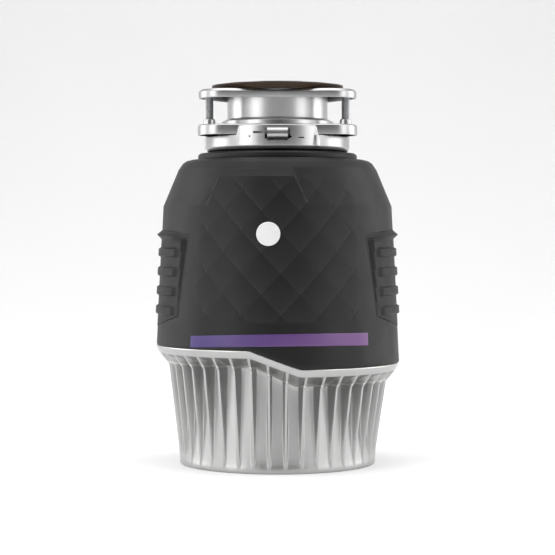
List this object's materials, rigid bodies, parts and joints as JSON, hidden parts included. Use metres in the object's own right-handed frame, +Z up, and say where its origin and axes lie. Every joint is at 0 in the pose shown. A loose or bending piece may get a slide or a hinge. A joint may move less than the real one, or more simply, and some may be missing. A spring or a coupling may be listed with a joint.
{
  "type": "kitchen garbage disposal",
  "caption": "Under-sink food waste disposer: ribbed aluminium motor housing, black barrel shell with side grips, and a steel sink mount with screws and a turning lock ring.",
  "frame": {"origin": "centre of the machine's footprint, on the motor axis, at the bottom rim of the motor housing", "axes": "+Z up along the motor shaft, front with the badge towards -Y, discharge outlet towards +Y, +X to the right seen from the front"},
  "size_m": [0.2084, 0.2079, 0.3227],
  "materials": {
    "stainless": "polished stainless steel",
    "zinc_screw": "bright zinc-plated steel",
    "cast_aluminium": "satin die-cast aluminium",
    "laminations": "dark varnished steel laminations",
    "copper": "varnished copper wire",
    "bronze": "sintered bronze",
    "black_rubber": "matte black rubber",
    "brown_fibre": "waxed brown fibre",
    "light_diffuser": "frosted translucent plastic",
    "black_plastic": "satin charcoal moulded plastic",
    "grip_plastic": "fine-textured black plastic",
    "violet_print": "printed violet band",
    "white_print": "printed white disc",
    "red_plastic": "glossy red plastic",
    "green_screw": "green lacquered steel",
    "grey_plastic": "grey moulded plastic",
    "dark_plastic": "black moulded plastic",
    "foam": "grey acoustic foam"
  },
  "bodies": {
    "housing": {"backup_flange": "stainless", "badge_disc": "white_print", "cord_gland": "grey_plastic", "dishwasher_plug": "grey_plastic", "end_bell_bolt_1": "zinc_screw", "end_bell_bolt_2": "zinc_screw", "end_bell_bolt_3": "zinc_screw", "end_bell_bolt_4": "zinc_screw", "fiber_gasket": "brown_fibre", "grind_container": "stainless", "ground_screw": "green_screw", "led_light_ring": "light_diffuser", "lower_bearing": "bronze", "motor_housing": "cast_aluminium", "mounting_gasket": "black_rubber", "outer_shell": "black_plastic", "overload_protector": "dark_plastic", "shaft_seal": "black_rubber", "shredder_ring": "stainless", "side_grip_left": "grip_plastic", "side_grip_right": "grip_plastic", "sink_flange": "stainless", "snap_ring": "stainless", "sound_insulation": "foam", "start_capacitor": "grey_plastic", "start_switch": "dark_plastic", "stator_core": "laminations", "stator_winding_lower": "copper", "stator_winding_upper": "copper", "terminal_cover": "stainless", "terminal_cover_screw": "zinc_screw", "top_ring": "black_plastic", "trim_band": "violet_print", "upper_bearing": "bronze", "upper_end_bell": "cast_aluminium", "upper_mounting_ring": "stainless"},
    "rotor": {"motor_shaft": "zinc_screw", "rotor_core": "laminations", "rotor_end_ring_lower": "cast_aluminium", "rotor_end_ring_upper": "cast_aluminium", "turntable": "stainless", "turntable_nut": "zinc_screw", "impeller_rivet_a": "zinc_screw", "impeller_rivet_b": "zinc_screw"},
    "impeller_a": {"impeller_a": "stainless"},
    "impeller_b": {"impeller_b": "stainless"},
    "actuator": {"centrifugal_actuator": "grey_plastic"},
    "lock_ring": {"lower_mounting_ring": "stainless"},
    "screw_rear": {"mounting_screw_rear": "zinc_screw"},
    "screw_left": {"mounting_screw_left": "zinc_screw"},
    "screw_right": {"mounting_screw_right": "zinc_screw"},
    "baffle": {"splash_baffle": "black_rubber"},
    "button": {"reset_button": "red_plastic"}
  },
  "joints": [
    {"name": "rotor_spin", "type": "hinge", "parent": "housing", "child": "rotor", "pos_m": [0, 0, 0.1], "axis": [0, 0, 1], "continuous": true},
    {"name": "impeller_a_swivel", "type": "hinge", "parent": "rotor", "child": "impeller_a", "pos_m": [-0.05, 0, 0.176], "axis": [0, 0, 1], "continuous": true},
    {"name": "impeller_b_swivel", "type": "hinge", "parent": "rotor", "child": "impeller_b", "pos_m": [0.05, 0, 0.176], "axis": [0, 0, 1], "continuous": true},
    {"name": "actuator_slide", "type": "slide", "parent": "rotor", "child": "actuator", "axis": [0, 0, 1], "range_m": [0, 0.004]},
    {"name": "lock_ring_turn", "type": "hinge", "parent": "housing", "child": "lock_ring", "pos_m": [0, 0, 0.275], "axis": [0, 0, 1], "range_deg": [0, 2.5]},
    {"name": "screw_rear_travel", "type": "slide", "parent": "housing", "child": "screw_rear", "axis": [0, 0, 1], "range_m": [-0.012, 0]},
    {"name": "screw_left_travel", "type": "slide", "parent": "housing", "child": "screw_left", "axis": [0, 0, 1], "range_m": [-0.012, 0]},
    {"name": "screw_right_travel", "type": "slide", "parent": "housing", "child": "screw_right", "axis": [0, 0, 1], "range_m": [-0.012, 0]},
    {"name": "baffle_lift", "type": "slide", "parent": "housing", "child": "baffle", "axis": [0, 0, 1], "range_m": [0, 0.06]},
    {"name": "reset_press", "type": "slide", "parent": "housing", "child": "button", "axis": [0, 0, 1], "range_m": [0, 0.0025], "stiffness_N_per_m": 300}
  ]
}
